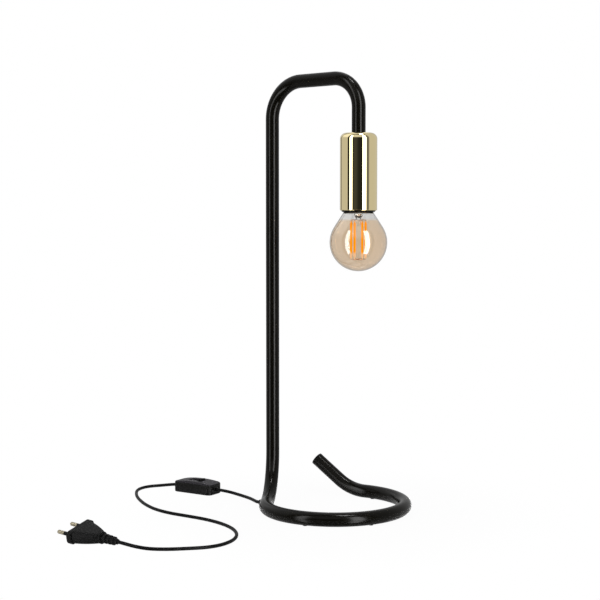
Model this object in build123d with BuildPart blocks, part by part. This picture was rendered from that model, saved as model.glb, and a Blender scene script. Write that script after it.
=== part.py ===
"""Bedside lamp: one bent steel tube makes the base ring, the pole and the arm, and carries a brass
sleeve with a globe bulb. A mains lead leaves the foot of the pole and runs through a rocker switch
to a flat two-pin plug. Millimetres, +Z up, the table at z = 0, the arm along +X."""

import os
from math import atan2, cos, degrees, pi, radians, sin, tan

from build123d import *

os.makedirs("parts", exist_ok=True)

# General clearances
overrun = 2.0  # how far a cut runs past the face it opens
slip = 0.05  # radial room of a piece that slides into its seat
running = 0.05  # radial room of a pin that turns
body_gap = 0.3  # room between pieces that move past each other

# Bent tube
tube_diameter = 15.0
tube_wall = 1.5
arm_height = 473.8  # centreline of the arm above the table
arm_reach = 118.6  # axis of the pole to axis of the drop
pole_bend = 40.0
drop_bend = 33.0
drop_length = 27.1  # straight run from the last bend down to the sleeve
base_bend = 52.0
ring_radius = 78.0
lead_radius = 68.5  # the ring's first stretch is bent a little tighter
lead_sweep = 53.0
ring_end = 99.0  # direction from the ring's centre to its end, degrees from +X
tail_bend = 55.0
tail_rise = 36.3
tail_length = 36.0
cap_head = 1.5
cap_edge = 0.5
cap_spigot = 8.0

# Rubber pads under the ring
pad_radius = 2.4
pad_proud = 0.3
pad_wrap = 1.1  # how far a pad climbs the round of the tube
lead_pad_share = 0.12  # place of one pad along the ring's first stretch
ring_pad_shares = (0.10, 0.37, 0.64, 0.96)  # places of the others along the main arc

# Mains lead and its way out of the tube
cord_diameter = 3.6
cord_leave_angle = 80.0  # how far round the base bend the lead turns off
cord_turn_radius = 2.45
exit_angle = 45.0  # between the way out and the way back along the tube
exit_droop = 6.0  # how far the way out points down
bush_wall = 1.3
bush_outside = 7.0
bush_edge = 0.6
exit_run = 6.0  # straight run of the lead after the bush

# Brass sleeve and the fittings that hold it to the tube
sleeve_length = 82.8
sleeve_diameter = 40.0
sleeve_wall = 1.0
sleeve_shoulder = 6.5
insert_length = 14.0
nipple_diameter = 10.0
nipple_bore = 7.0
nipple_in_tube = 12.0
nipple_in_holder = 9.0
nut_width = 14.0
nut_height = 3.0

# Lampholder
holder_diameter = 37.0
holder_show = 1.8  # how far the holder stands out of the sleeve
holder_edge = 1.7
holder_length = 43.0
holder_lip = 3.0
holder_collar_diameter = 35.2
holder_collar_wall = 2.2
cap_neck_diameter = 16.0
cap_neck_height = 6.0
cap_slope_height = 10.0
block_diameter = 32.4
block_height = 9.0
shell_bore = 26.7
shell_wall = 0.5
terminal_spacing = 18.0
screw_diameter = 3.0
screw_head_diameter = 5.4
screw_head_height = 1.8
screw_depth = 6.0
core_diameter = 1.7
core_spacing = 1.8
core_bend = 2.5
cord_end_drop = 16.0  # from the sleeve's top to the end of the lead's jacket
core_straight = 6.0
spring_width = 6.0
spring_thickness = 0.6
spring_root = 9.0
spring_knee = 4.0
spring_tip = 3.0

# Globe bulb
bulb_radius = 31.0
bulb_drop = 34.4  # from the sleeve's mouth to the globe's centre
glass_wall = 0.9
neck_slope = 32.6  # half angle of the cone between globe and neck
shoulder_gap = 0.5  # from the holder's rim to the glass
neck_length = 9.0
screw_cap_diameter = 26.0
screw_cap_wall = 0.4
screw_cap_lift = 0.6  # from the glass shoulder to the cap's rim
screw_cap_length = 20.5
cap_cone_height = 2.5
cap_cone_radius = 9.0
cap_bead_height = 2.4
contact_radius = 4.8
contact_height = 1.7
stem_radius = 2.6
stem_flare = 5.0
stem_length = 14.4
stem_rod = 7.0
stem_taper = 5.0
stem_foot = 3.0
board_thickness = 1.6
chip_size = 7.0
chip_height = 4.0
filament_diameter = 2.4
filament_length = 40.4
filament_circle = 8.8
filament_turn = 62.9
filament_count = 4
filament_low = 17.8  # from the globe's centre down to the filaments' lower ends
wire_diameter = 0.7
wire_rise = 1.6
wire_bend = 0.7

# Rocker switch on the lead
switch_x = -182.9
switch_y = -16.7
switch_turn = 5.2
switch_length = 54.0
switch_width = 25.0
switch_height = 14.6
switch_end_height = 12.2
switch_corner = 6.0
switch_edge = 1.4
switch_wall = 1.6
switch_split = 6.0  # height of the lead's axis and of the line between the shells
switch_cord_depth = 8.0
switch_cord_run = 4.0  # straight run of the lead outside the housing
post_diameter = 5.2
post_x = 20.0
post_y = 7.5
pilot_diameter = 2.2
housing_screw_head = 4.4
housing_screw_head_height = 1.2
housing_screw_length = 9.0
clamp_length = 4.0
clamp_width = 9.0
clamp_inset = 5.0
rocker_length = 17.4
rocker_width = 9.4
rocker_gap = 0.5
rocker_x = -0.5
rocker_tilt = 10.0
pivot_drop = 4.4  # from the crown of the housing down to the rocker's pivot
pivot_diameter = 2.0
rib_thickness = 2.0
rocker_valley = 3.5
rocker_rise = 1.6
rocker_skirt = 2.0
rocker_keel = 3.4
rocker_keel_length = 6.0
contact_width = 5.0
contact_length = 3.0
contact_ridge = 1.0
leaf_length = 13.0
leaf_width = 3.0
leaf_thickness = 0.5
leaf_level = 4.4  # axis of the round ridge that the leaf rocks on
leaf_tilt = 8.0
core_y = 0.9
core_knee = 15.0
core_step = 11.5
core_wide = 6.0

# Two-pin plug
plug_x = -64.0
plug_y = -264.2
plug_turn = 184.0
plug_lift = 4.0  # how far its axis rises towards the pins
plug_roll = 14.0  # how far it leans over on one long edge
relief_length = 22.0
relief_run = 9.0  # straight run of the lead before the relief
relief_radius = 4.0
relief_end_radius = 2.7
rib_count = 3
rib_width = 2.0
rib_height = 1.3
flange_width = 2.6
flange_radius = 6.2
plug_length = 30.0
plug_width = 35.3
plug_height = 13.7
plug_corner = 5.0
plug_collar_length = 5.0
plug_waist_width = 31.0
plug_waist_share = 0.6
plug_waist_height = 12.6
plug_neck_width = 13.0
plug_neck_height = 10.4
plug_neck_corner = 4.0
pin_spacing = 18.6
pin_diameter = 4.0
pin_length = 19.0
pin_sleeve_length = 10.0
pin_core_diameter = 3.0
pin_anchor = 9.0
pin_nose = 1.2

# Routes of the lead over the table, chosen by hand: from the tube to the switch, then on to the plug
route_to_switch = (
    (-86.0, -30.5, 5.5),
    (-97.5, -24.0, 5.0),
    (-109.0, -19.0, 4.6),
    (-122.0, -15.0, 4.6),
    (-136.0, -12.7, 5.2),
)
route_to_plug = (
    (-231.0, -20.0, 2.9),
    (-240.0, -25.5, 1.8),
    (-245.3, -35.0, 1.8),
    (-245.3, -48.0, 1.8),
    (-239.5, -60.5, 1.8),
    (-229.5, -72.0, 1.8),
    (-215.0, -85.5, 1.8),
    (-197.0, -98.5, 1.8),
    (-175.0, -111.5, 1.8),
    (-151.0, -121.5, 1.8),
    (-126.0, -125.5, 1.8),
    (-100.0, -124.0, 1.8),
    (-74.0, -123.5, 1.8),
    (-48.0, -128.0, 1.8),
    (-24.0, -138.0, 1.8),
    (-4.0, -154.5, 1.8),
    (8.5, -174.5, 1.8),
    (12.0, -195.5, 1.8),
    (7.5, -213.0, 1.8),
    (-5.5, -228.5, 1.8),
    (-18.0, -242.0, 1.8),
    (-32.0, -254.0, 2.4),
    (-44.0, -261.0, 4.3),
)

# Derived sizes
tube_radius = tube_diameter / 2
bore_radius = tube_radius - tube_wall
cord_radius = cord_diameter / 2
bush_radius = cord_radius + slip + bush_wall
sleeve_radius = sleeve_diameter / 2
sleeve_top = arm_height - drop_bend - drop_length
sleeve_bottom = sleeve_top - sleeve_length
nipple_radius = nipple_diameter / 2
ring_level = pad_proud + tube_radius

UP = Vector(0, 0, 1)
ALONG_X = Vector(1, 0, 0)


def save(piece, name):
    """Names a finished piece and writes it."""
    piece.part.label = name
    export_step(piece.part, f"parts/{name}.step")


def around(center, radius, angle):
    """The point at an angle, in radians, on a level circle."""
    return center + Vector(cos(angle), sin(angle), 0) * radius


def bend(start, first, second, radius):
    """Start, middle and end of the arc that leaves start along first and ends along second."""
    turn = radians(first.get_angle(second))
    side = (second - first * cos(turn)).normalized()

    def reached(angle):
        return start + (first * sin(angle) + side * (1 - cos(angle))) * radius

    return start, reached(turn / 2), reached(turn)


# Centreline of the tube. The ring is laid out with its first stretch ending on +X, then turned until
# the pole stands on -X, so that the arm lies over the middle of the ring.
lead_turn = radians(lead_sweep)
foot_x = ring_radius - lead_radius + lead_radius * cos(lead_turn) - base_bend * sin(lead_turn)
foot_y = -lead_radius * sin(lead_turn) - base_bend * cos(lead_turn)
pole_distance = Vector(foot_x, foot_y).length
join_angle = pi - atan2(foot_y, foot_x)
start_angle = join_angle - lead_turn
end_angle = radians(ring_end) + 2 * pi
if join_angle > 2 * pi:
    end_angle += 2 * pi
ring_sweep = end_angle - join_angle

ring_center = Vector((pole_distance - ring_radius) / 2, 0, ring_level)
lead_center = around(ring_center, ring_radius - lead_radius, join_angle)
pole_x = ring_center.X - pole_distance
head_x = pole_x + arm_reach
along = Vector(-sin(start_angle), cos(start_angle), 0)
outward = Vector(cos(start_angle), sin(start_angle), 0)
end_along = Vector(-sin(end_angle), cos(end_angle), 0)
tail_along = end_along * cos(radians(tail_rise)) + UP * sin(radians(tail_rise))

drop_end = Vector(head_x, 0, sleeve_top)
drop_arc = bend(Vector(head_x, 0, arm_height - drop_bend), UP, -ALONG_X, drop_bend)
pole_arc = bend(Vector(pole_x + pole_bend, 0, arm_height), -ALONG_X, -UP, pole_bend)
base_arc = bend(Vector(pole_x, 0, ring_level + base_bend), -UP, along, base_bend)
lead_arc = [around(lead_center, lead_radius, start_angle + lead_turn * part / 2) for part in range(3)]
ring_arc = [around(ring_center, ring_radius, join_angle + ring_sweep * part / 2) for part in range(3)]
tail_arc = bend(ring_arc[2], end_along, tail_along, tail_bend)
tail_end = tail_arc[2] + tail_along * tail_length

with BuildLine() as frame_line:
    Line(drop_end, drop_arc[0])
    ThreePointArc(*drop_arc)
    Line(drop_arc[2], pole_arc[0])
    ThreePointArc(*pole_arc)
    Line(pole_arc[2], base_arc[0])
    ThreePointArc(*base_arc)
    ThreePointArc(*lead_arc)
    ThreePointArc(*ring_arc)
    ThreePointArc(*tail_arc)
    Line(tail_arc[2], tail_end)

with BuildLine() as ring_line:
    ThreePointArc(*lead_arc)
    ThreePointArc(*ring_arc)


# The lead comes down the pole and leaves the base bend on its outer side
def on_base_bend(angle):
    """The point of the base bend's centreline that has turned by an angle from the pole."""
    return base_arc[0] + along * (base_bend * (1 - cos(angle))) - UP * (base_bend * sin(angle))


leave_turn = radians(cord_leave_angle)
leave_along = along * sin(leave_turn) - UP * cos(leave_turn)
exit_level = outward * sin(radians(exit_angle)) - along * cos(radians(exit_angle))
exit_along = exit_level * cos(radians(exit_droop)) - UP * sin(radians(exit_droop))
leave_arc = bend(on_base_bend(leave_turn), leave_along, exit_along, cord_turn_radius)
exit_plane = Plane(origin=leave_arc[2], z_dir=exit_along)
exit_face = leave_arc[2] + exit_along * bush_outside

with BuildPart() as tube_frame:
    with BuildSketch(Plane(origin=drop_end)):
        Circle(tube_radius)
        Circle(bore_radius, mode=Mode.SUBTRACT)
    sweep(path=frame_line.wire())
    with BuildSketch(exit_plane):
        Circle(bush_radius + slip)
    extrude(amount=bush_outside + overrun, mode=Mode.SUBTRACT)
save(tube_frame, "tube_frame")

with BuildPart() as tail_cap:
    tail_plane = Plane(origin=tail_end, z_dir=tail_along)
    with BuildSketch(tail_plane):
        Circle(tube_radius)
    extrude(amount=cap_head)
    fillet(tail_cap.faces().sort_by(Axis(tail_end, tail_along))[-1].edges(), radius=cap_edge)
    with BuildSketch(tail_plane):
        Circle(bore_radius - slip)
    extrude(amount=-cap_spigot)
save(tail_cap, "tail_cap")

with BuildPart() as foot_pads:
    pad_places = [around(lead_center, lead_radius, start_angle + lead_turn * lead_pad_share)]
    pad_places += [around(ring_center, ring_radius, join_angle + ring_sweep * s) for s in ring_pad_shares]
    with BuildSketch():
        with Locations(*[(place.X, place.Y) for place in pad_places]):
            Circle(pad_radius)
    extrude(amount=pad_proud + pad_wrap)
    with BuildSketch(Plane(origin=lead_arc[0], z_dir=along)):
        Circle(tube_radius + slip)
    sweep(path=ring_line.wire(), mode=Mode.SUBTRACT)
save(foot_pads, "foot_pads")

with BuildPart() as cord_bush:
    with BuildSketch(exit_plane):
        Circle(bush_radius)
        Circle(cord_radius + slip, mode=Mode.SUBTRACT)
    extrude(amount=bush_outside)
    outer_rim = cord_bush.faces().sort_by(Axis(leave_arc[2], exit_along))[-1].outer_wire().edges()
    fillet(outer_rim, radius=bush_edge)
save(cord_bush, "cord_bush")

# The stretch of the lead inside the tube, from the lampholder to the bush
cord_end = Vector(head_x, 0, sleeve_top - cord_end_drop)
with BuildLine() as inner_line:
    Line(cord_end, drop_arc[0])
    ThreePointArc(*drop_arc)
    Line(drop_arc[2], pole_arc[0])
    ThreePointArc(*pole_arc)
    Line(pole_arc[2], base_arc[0])
    ThreePointArc(base_arc[0], on_base_bend(leave_turn / 2), leave_arc[0])
    ThreePointArc(*leave_arc)
    Line(leave_arc[2], exit_face)

with BuildPart() as inner_cord:
    with BuildSketch(Plane(origin=cord_end)):
        Circle(cord_radius)
    sweep(path=inner_line.wire())
save(inner_cord, "inner_cord")

# Head of the lamp: everything here is turned about the axis of the drop
head_axis = Axis((head_x, 0, 0), (0, 0, 1))
head_section = Plane(origin=(head_x, 0, 0), x_dir=(1, 0, 0), z_dir=(0, -1, 0))


def head_level(height):
    """Level plane of the head at a height above the table."""
    return Plane(origin=(head_x, 0, height))


nut_top = sleeve_top - sleeve_wall
cap_top = nut_top - nut_height - slip
rim = sleeve_bottom - holder_show
holder_top = rim + holder_length
holder_radius = holder_diameter / 2
collar_radius = holder_collar_diameter / 2
collar_bore = collar_radius - holder_collar_wall
thread_radius = nipple_radius + slip

with BuildPart() as tube_insert:
    with BuildSketch(head_level(sleeve_top)):
        Circle(bore_radius - slip)
        Circle(thread_radius, mode=Mode.SUBTRACT)
    extrude(amount=insert_length)
save(tube_insert, "tube_insert")

with BuildPart() as nipple:
    with BuildSketch(head_level(cap_top - nipple_in_holder)):
        Circle(nipple_radius)
        Circle(nipple_bore / 2, mode=Mode.SUBTRACT)
    extrude(amount=sleeve_top + nipple_in_tube - cap_top + nipple_in_holder)
save(nipple, "nipple")

with BuildPart() as sleeve:
    with BuildSketch(head_level(sleeve_bottom)):
        Circle(sleeve_radius)
    extrude(amount=sleeve_length)
    fillet(sleeve.faces().sort_by(Axis.Z)[-1].edges(), radius=sleeve_shoulder)
    offset(amount=-sleeve_wall, openings=sleeve.faces().sort_by(Axis.Z)[0])
    with BuildSketch(head_level(sleeve_top + overrun)):
        Circle(thread_radius)
    extrude(amount=-(sleeve_wall + 2 * overrun), mode=Mode.SUBTRACT)
save(sleeve, "sleeve")

with BuildPart() as sleeve_nut:
    with BuildSketch(head_level(nut_top - nut_height)):
        RegularPolygon(nut_width / 2, 6, major_radius=False)
        Circle(thread_radius, mode=Mode.SUBTRACT)
    extrude(amount=nut_height)
save(sleeve_nut, "sleeve_nut")

with BuildPart() as holder_cap:
    slope_top = cap_top - cap_neck_height
    slope_bottom = slope_top - cap_slope_height
    with BuildSketch(head_section):
        with BuildLine():
            Polyline(
                (thread_radius, cap_top),
                (cap_neck_diameter / 2, cap_top),
                (cap_neck_diameter / 2, slope_top),
                (collar_radius, slope_bottom),
                (collar_radius, holder_top),
                (collar_bore, holder_top),
                (collar_bore, slope_bottom - holder_collar_wall / 2),
                (thread_radius, slope_top - holder_collar_wall),
                close=True,
            )
        make_face()
    revolve(axis=head_axis)
save(holder_cap, "holder_cap")

block_radius = block_diameter / 2
shell_radius = shell_bore / 2 + shell_wall
glass_top = rim - shoulder_gap
contact_top = (
    glass_top + screw_cap_lift + screw_cap_length + cap_cone_height + cap_bead_height + body_gap + contact_height
)
block_bottom = contact_top + body_gap + 3 * spring_thickness
block_top = block_bottom + block_height

with BuildPart() as holder_body:
    with BuildSketch(head_level(rim)):
        Circle(holder_radius)
        Circle(shell_radius - slip - shell_wall / 2, mode=Mode.SUBTRACT)
    extrude(amount=holder_length)
    fillet(holder_body.faces().sort_by(Axis.Z)[0].outer_wire().edges(), radius=holder_edge)
    with BuildSketch(head_level(rim + holder_lip)):
        Circle(shell_radius + slip)
    extrude(amount=holder_length, mode=Mode.SUBTRACT)
    with BuildSketch(head_level(block_bottom)):
        Circle(block_radius + slip)
    extrude(amount=holder_length, mode=Mode.SUBTRACT)
save(holder_body, "holder_body")

with BuildPart() as screw_shell:
    with BuildSketch(head_level(rim + holder_lip)):
        Circle(shell_radius)
        Circle(shell_bore / 2, mode=Mode.SUBTRACT)
    extrude(amount=block_bottom - rim - holder_lip)
save(screw_shell, "screw_shell")

terminal_places = [(0, -terminal_spacing / 2), (0, terminal_spacing / 2)]

with BuildPart() as terminal_block:
    with BuildSketch(head_level(block_bottom)):
        Circle(block_radius)
    extrude(amount=block_height)
    with BuildSketch(head_level(block_top)):
        with Locations(*terminal_places):
            Circle(screw_diameter / 2 + slip)
    extrude(amount=-screw_depth - slip, mode=Mode.SUBTRACT)
save(terminal_block, "terminal_block")

with BuildPart() as terminal_screws:
    with BuildSketch(head_level(block_top)):
        with Locations(*terminal_places):
            Circle(screw_diameter / 2)
    extrude(amount=-screw_depth)
    with BuildSketch(head_level(block_top)):
        with Locations(*terminal_places):
            Circle(screw_head_diameter / 2)
    extrude(amount=screw_head_height)
save(terminal_screws, "terminal_screws")

with BuildPart() as centre_spring:
    tip_level = contact_top + body_gap
    with BuildSketch(head_section):
        with BuildLine():
            Polyline(
                (-spring_root, block_bottom),
                (-spring_knee, block_bottom),
                (0, tip_level + spring_thickness),
                (spring_tip, tip_level + spring_thickness),
                (spring_tip, tip_level),
                (-spring_thickness, tip_level),
                (-spring_knee - spring_thickness, block_bottom - spring_thickness),
                (-spring_root, block_bottom - spring_thickness),
                close=True,
            )
        make_face()
    extrude(amount=spring_width / 2, both=True)
save(centre_spring, "centre_spring")

with BuildPart() as core_leads:
    head_top = block_top + screw_head_height
    knee_top = cord_end.Z - core_straight
    knee_bottom = head_top + core_straight
    for side in (-1, 1):
        start = Vector(head_x, side * core_spacing / 2, cord_end.Z)
        stop = Vector(head_x, side * terminal_spacing / 2, head_top)
        with BuildLine() as core_line:
            FilletPolyline(start, (start.X, start.Y, knee_top), (stop.X, stop.Y, knee_bottom), stop, radius=core_bend)
        with BuildSketch(Plane(origin=start)):
            Circle(core_diameter / 2)
        sweep(path=core_line.wire())
save(core_leads, "core_leads")

# Globe bulb
bulb_level = sleeve_bottom - bulb_drop
cap_radius = screw_cap_diameter / 2
cap_bore = cap_radius - screw_cap_wall
neck_radius = cap_bore - slip


def glass_section(inset, top):
    """Half section of the globe, its cone and its neck, drawn inside the outline by an inset."""
    radius = bulb_radius - inset
    slope = radians(neck_slope)
    tangent = (radius * cos(slope), bulb_level + radius * sin(slope))
    shoulder = glass_top - inset
    with BuildSketch(head_section) as section:
        with BuildLine():
            ThreePointArc((0, bulb_level - radius), (radius, bulb_level), tangent)
            Polyline(
                tangent,
                (tangent[0] - (shoulder - tangent[1]) * tan(slope), shoulder),
                (neck_radius - inset, shoulder),
                (neck_radius - inset, top),
                (0, top),
                (0, bulb_level - radius),
            )
        make_face()
    return section.sketch


neck_top = glass_top + neck_length
with BuildPart() as bulb_glass:
    add(glass_section(0, neck_top))
    revolve(axis=head_axis)
    add(glass_section(glass_wall, neck_top + overrun))
    revolve(axis=head_axis, mode=Mode.SUBTRACT)
save(bulb_glass, "bulb_glass")

screw_cap_rim = glass_top + screw_cap_lift
screw_cap_end = screw_cap_rim + screw_cap_length
cone_end = screw_cap_end + cap_cone_height

with BuildPart() as bulb_cap:
    with BuildSketch(head_section):
        with BuildLine():
            Polyline(
                (cap_bore, screw_cap_rim),
                (cap_radius, screw_cap_rim),
                (cap_radius, screw_cap_end),
                (cap_cone_radius, cone_end),
                (cap_cone_radius - screw_cap_wall, cone_end),
                (cap_cone_radius - screw_cap_wall, cone_end - screw_cap_wall),
                (cap_bore, screw_cap_end - screw_cap_wall),
                close=True,
            )
        make_face()
    revolve(axis=head_axis)
save(bulb_cap, "bulb_cap")

with BuildPart() as cap_insulator:
    bead_end = cone_end + cap_bead_height
    with BuildSketch(head_section):
        with BuildLine():
            Polyline(
                (0, cone_end - screw_cap_wall),
                (cap_cone_radius - screw_cap_wall - slip, cone_end - screw_cap_wall),
                (cap_cone_radius - screw_cap_wall - slip, cone_end),
                (contact_radius, bead_end),
                (0, bead_end),
                close=True,
            )
        make_face()
    revolve(axis=head_axis)
save(cap_insulator, "cap_insulator")

with BuildPart() as bulb_contact:
    with BuildSketch(head_level(bead_end + body_gap)):
        Circle(contact_radius)
    extrude(amount=contact_height)
    fillet(bulb_contact.faces().sort_by(Axis.Z)[-1].edges(), radius=contact_height / 2)
save(bulb_contact, "bulb_contact")

stem_end = glass_top - stem_length
with BuildPart() as bulb_stem:
    flare_bottom = stem_end + stem_rod
    flare_top = flare_bottom + stem_taper
    foot_radius = neck_radius - glass_wall - slip
    with BuildSketch(head_section):
        with BuildLine():
            Polyline(
                (0, stem_end),
                (stem_radius, stem_end),
                (stem_radius, flare_bottom),
                (stem_flare, flare_top),
                (stem_flare, neck_top - 2 * stem_foot),
                (foot_radius, neck_top - stem_foot),
                (foot_radius, neck_top),
                (0, neck_top),
                close=True,
            )
        make_face()
    revolve(axis=head_axis)
save(bulb_stem, "bulb_stem")

with BuildPart() as driver_board:
    with BuildSketch(head_level(neck_top)):
        Circle(cap_bore - slip)
    extrude(amount=board_thickness)
    with BuildSketch(head_level(neck_top + board_thickness)):
        Rectangle(chip_size, chip_size)
    extrude(amount=chip_height)
save(driver_board, "driver_board")

filament_bottom = bulb_level - filament_low
filament_top = filament_bottom + filament_length
filament_places = [
    around(Vector(0, 0, 0), filament_circle, radians(filament_turn) + 2 * pi * count / filament_count)
    for count in range(filament_count)
]
with BuildPart() as led_filaments:
    with BuildSketch(head_level(filament_bottom)):
        with Locations(*[(place.X, place.Y) for place in filament_places]):
            Circle(filament_diameter / 2)
    extrude(amount=filament_length)
save(led_filaments, "led_filaments")

with BuildPart() as filament_wires:
    wire_radius = wire_diameter / 2
    for place in filament_places:
        outer = Vector(head_x + place.X, place.Y, filament_top)
        inward = Vector(-place.X, -place.Y, 0).normalized()
        reach = filament_circle - stem_radius - slip
        with BuildLine() as wire_line:
            FilletPolyline(outer, outer + UP * wire_rise, outer + UP * wire_rise + inward * reach, radius=wire_bend)
        with BuildSketch(Plane(origin=outer)):
            Circle(wire_radius)
        sweep(path=wire_line.wire())
    for pair in range(0, filament_count, 2):
        link = [radians(filament_turn) + 2 * pi * (pair + part / 2) / filament_count for part in range(3)]
        link_center = Vector(head_x, 0, filament_bottom - wire_radius)
        with BuildLine() as link_line:
            ThreePointArc(*[around(link_center, filament_circle, angle) for angle in link])
        link_start = link_line.line @ 0
        with BuildSketch(Plane(origin=link_start, z_dir=link_line.line % 0)):
            Circle(wire_radius)
        sweep(path=link_line.wire())
save(filament_wires, "filament_wires")

# Rocker switch: x along the lead, z up
switch_plane = Plane(
    origin=(switch_x, switch_y, 0),
    x_dir=(cos(radians(switch_turn)), sin(radians(switch_turn)), 0),
    z_dir=(0, 0, 1),
)
switch_side = Plane(origin=switch_plane.origin, x_dir=switch_plane.x_dir, z_dir=-switch_plane.y_dir)
half_length = switch_length / 2
pivot_height = switch_height - pivot_drop
cord_inner_x = half_length - switch_cord_depth


def switch_block(inset):
    """Upper shell's block with its arched top, drawn inside the outline by an inset."""
    with BuildPart() as block:
        with BuildSketch(switch_plane.offset(switch_split)):
            RectangleRounded(switch_length - 2 * inset, switch_width - 2 * inset, switch_corner - inset)
        extrude(amount=switch_height)
        with BuildSketch(switch_side):
            with BuildLine():
                ThreePointArc(
                    (-half_length, switch_end_height - inset),
                    (0, switch_height - inset),
                    (half_length, switch_end_height - inset),
                )
                Polyline(
                    (half_length, switch_end_height - inset),
                    (half_length, 0),
                    (-half_length, 0),
                    (-half_length, switch_end_height - inset),
                )
            make_face()
        extrude(amount=switch_width, both=True, mode=Mode.INTERSECT)
    return block.part


switch_outer = switch_block(0)
switch_inner = switch_block(switch_wall)
cord_hole = cord_radius + slip
end_planes = [
    Plane(origin=switch_side.from_local_coords((side * half_length, switch_split, 0)), z_dir=switch_plane.x_dir * side)
    for side in (-1, 1)
]
post_places = [(post_x, post_y), (-post_x, -post_y)]

with BuildPart() as switch_base:
    with BuildSketch(switch_plane):
        RectangleRounded(switch_length, switch_width, switch_corner)
    extrude(amount=switch_split)
    fillet(switch_base.faces().sort_by(Axis.Z)[0].edges(), radius=switch_edge)
    with BuildSketch(switch_plane.offset(switch_wall)):
        RectangleRounded(switch_length - 2 * switch_wall, switch_width - 2 * switch_wall, switch_corner - switch_wall)
    extrude(amount=switch_split, mode=Mode.SUBTRACT)
    with BuildSketch(switch_plane.offset(switch_wall)):
        with Locations(*post_places):
            Circle(post_diameter / 2)
    extrude(amount=switch_split - switch_wall)
    with BuildSketch(switch_plane):
        with Locations(*post_places):
            Circle(pilot_diameter / 2 + slip)
    extrude(amount=switch_split, mode=Mode.SUBTRACT)
    with BuildSketch(switch_plane):
        with Locations(*post_places):
            Circle(housing_screw_head / 2 + slip)
    extrude(amount=housing_screw_head_height + slip, mode=Mode.SUBTRACT)
    for end_plane in end_planes:
        with BuildSketch(end_plane.offset(overrun)):
            Circle(cord_hole)
        extrude(amount=-2 * overrun - switch_wall, mode=Mode.SUBTRACT)
save(switch_base, "switch_base")

slot_length = rocker_length + 4 * rocker_gap
slot_width = rocker_width + 2 * rocker_gap
with BuildPart() as switch_cover:
    add(switch_outer)
    fillet(switch_cover.faces().sort_by(Axis.Z)[-1].edges(), radius=switch_edge)
    add(switch_inner, mode=Mode.SUBTRACT)
    with BuildSketch(switch_plane.offset(pivot_height - pivot_diameter)):
        with Locations((rocker_x, 0)):
            Rectangle(2 * pivot_diameter, slot_width + 2 * rib_thickness)
    extrude(amount=switch_height - pivot_height + pivot_diameter - switch_wall / 2)
    with BuildSketch(switch_plane.offset(switch_split)):
        with Locations(*post_places):
            Circle(post_diameter / 2)
    extrude(amount=switch_height - switch_split - switch_wall)
    with BuildSketch(switch_plane.offset(switch_split)):
        with Locations(*post_places):
            Circle(pilot_diameter / 2 + slip)
    extrude(amount=housing_screw_length - switch_split + housing_screw_head_height, mode=Mode.SUBTRACT)
    with BuildSketch(switch_plane.offset(switch_split)):
        with Locations((rocker_x, 0)):
            Rectangle(slot_length, slot_width)
    extrude(amount=switch_height, mode=Mode.SUBTRACT)
    with BuildSketch(switch_side):
        with Locations((rocker_x, pivot_height)):
            Circle(pivot_diameter / 2 + running)
    extrude(amount=slot_width / 2 + rib_thickness, both=True, mode=Mode.SUBTRACT)
    for end_plane in end_planes:
        with BuildSketch(end_plane.offset(overrun)):
            Circle(cord_hole)
        extrude(amount=-2 * overrun - switch_wall, mode=Mode.SUBTRACT)
save(switch_cover, "switch_cover")

# The rocker is drawn level about its pivot, then tilted so that its left end is pressed in
rocker_section = Plane(
    origin=switch_side.from_local_coords((rocker_x, pivot_height, 0)),
    x_dir=switch_plane.x_dir * cos(radians(rocker_tilt)) + UP * sin(radians(rocker_tilt)),
    z_dir=-switch_plane.y_dir,
)
half_rocker = rocker_length / 2
with BuildPart() as switch_rocker:
    with BuildSketch(rocker_section):
        with BuildLine():
            ThreePointArc(
                (-half_rocker, rocker_valley + rocker_rise), (0, rocker_valley), (half_rocker, rocker_valley + rocker_rise)
            )
            Polyline(
                (half_rocker, rocker_valley + rocker_rise),
                (half_rocker, -rocker_skirt),
                (rocker_keel_length / 2, -rocker_keel),
                (-rocker_keel_length / 2, -rocker_keel),
                (-half_rocker, -rocker_skirt),
                (-half_rocker, rocker_valley + rocker_rise),
            )
        make_face()
        Circle(pivot_diameter / 2 + running, mode=Mode.SUBTRACT)
    extrude(amount=rocker_width / 2, both=True)
save(switch_rocker, "switch_rocker")

with BuildPart() as rocker_pin:
    with BuildSketch(switch_side):
        with Locations((rocker_x, pivot_height)):
            Circle(pivot_diameter / 2)
    extrude(amount=slot_width / 2 + rib_thickness, both=True)
save(rocker_pin, "rocker_pin")

# A leaf rocks on the round ridge of one contact, beside the other: at rest its right end is down, and the lamp is on
ridge_radius = contact_ridge / 2
leaf_rise = ridge_radius + slip
leaf_drop = leaf_length / 2 * sin(radians(leaf_tilt)) - leaf_rise * cos(radians(leaf_tilt))
contact_x = rocker_x + leaf_length / 2
with BuildPart() as switch_contacts:
    with BuildSketch(switch_side):
        with Locations((rocker_x, leaf_level)):
            Circle(ridge_radius)
            Rectangle(contact_ridge, leaf_level - switch_wall, align=(Align.CENTER, Align.MAX))
    extrude(amount=contact_width / 2, both=True)
    with BuildSketch(switch_plane.offset(switch_wall)):
        with Locations((contact_x, 0)):
            Rectangle(contact_length, contact_width)
    extrude(amount=leaf_level - leaf_drop - slip - switch_wall)
save(switch_contacts, "switch_contacts")

with BuildPart() as contact_leaf:
    leaf_section = Plane(
        origin=switch_side.from_local_coords((rocker_x, leaf_level, 0)),
        x_dir=switch_plane.x_dir * cos(radians(leaf_tilt)) - UP * sin(radians(leaf_tilt)),
        z_dir=-switch_plane.y_dir,
    )
    with BuildSketch(leaf_section):
        with Locations((0, leaf_rise)):
            Rectangle(leaf_length, leaf_thickness, align=(Align.CENTER, Align.MIN))
    extrude(amount=leaf_width / 2, both=True)
save(contact_leaf, "contact_leaf")

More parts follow.
